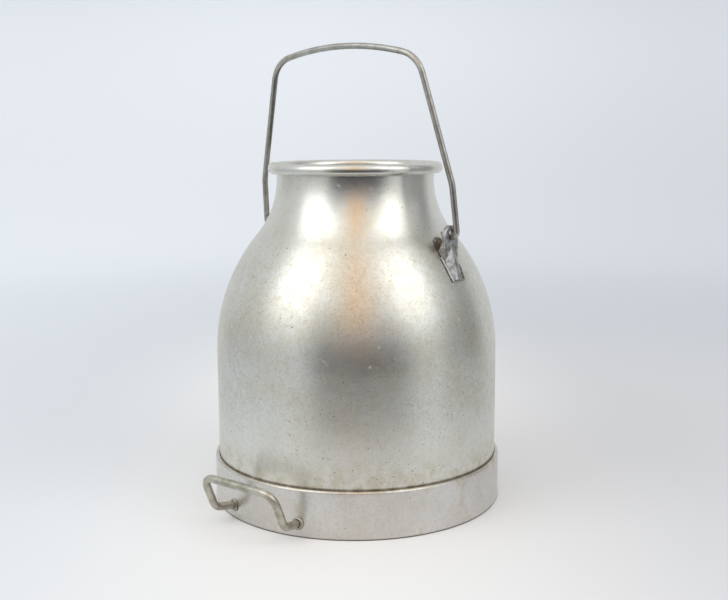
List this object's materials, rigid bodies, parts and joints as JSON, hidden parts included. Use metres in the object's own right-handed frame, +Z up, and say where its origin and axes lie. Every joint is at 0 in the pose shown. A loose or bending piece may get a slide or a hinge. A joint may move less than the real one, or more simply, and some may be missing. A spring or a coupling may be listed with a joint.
{
  "type": "milking machine pail",
  "caption": "Stainless steel vacuum milk pail with a narrow rolled mouth, swinging wire bail on two welded ears, foot ring and a fixed tipping handle.",
  "frame": {"origin": "middle of the footprint's box on the floor; the pail's own axis stands 17.75 mm towards +Y of it, because the tipping handle sticks out at -Y", "axes": "+Z up out of the mouth, +X through the right bail ear, -Y towards the tipping handle"},
  "size_m": [0.3, 0.3354, 0.4669],
  "materials": {
    "shell_steel": "satin polished stainless steel, aged, with fine scratches, specks and pits",
    "ring_steel": "rolled stainless steel, scuffed, with brown soil in the gap at its top edge",
    "rod_steel": "drawn stainless rod, dulled by handling",
    "forged_steel": "forged and ground stainless steel with dark soil in its corners",
    "weld_steel": "weld bead, rippled, lightly heat stained"
  },
  "bodies": {
    "pail": {"lower_shell": "shell_steel", "upper_shell": "shell_steel", "girth_weld": "shell_steel", "rim_wire": "rod_steel", "foot_ring": "ring_steel", "foot_ring_seam": "ring_steel", "foot_weld": "weld_steel", "ear_right": "forged_steel", "ear_weld_right": "weld_steel", "ear_left": "forged_steel", "ear_weld_left": "weld_steel", "tipping_handle": "rod_steel", "handle_weld_left": "weld_steel", "handle_weld_right": "weld_steel"},
    "bail": {"bail": "rod_steel"}
  },
  "joints": [
    {"name": "bail_hinge", "type": "hinge", "parent": "pail", "child": "bail", "pos_m": [0, 0.01775, 0.2786], "axis": [1, 0, 0], "range_deg": [-129, 117]}
  ]
}
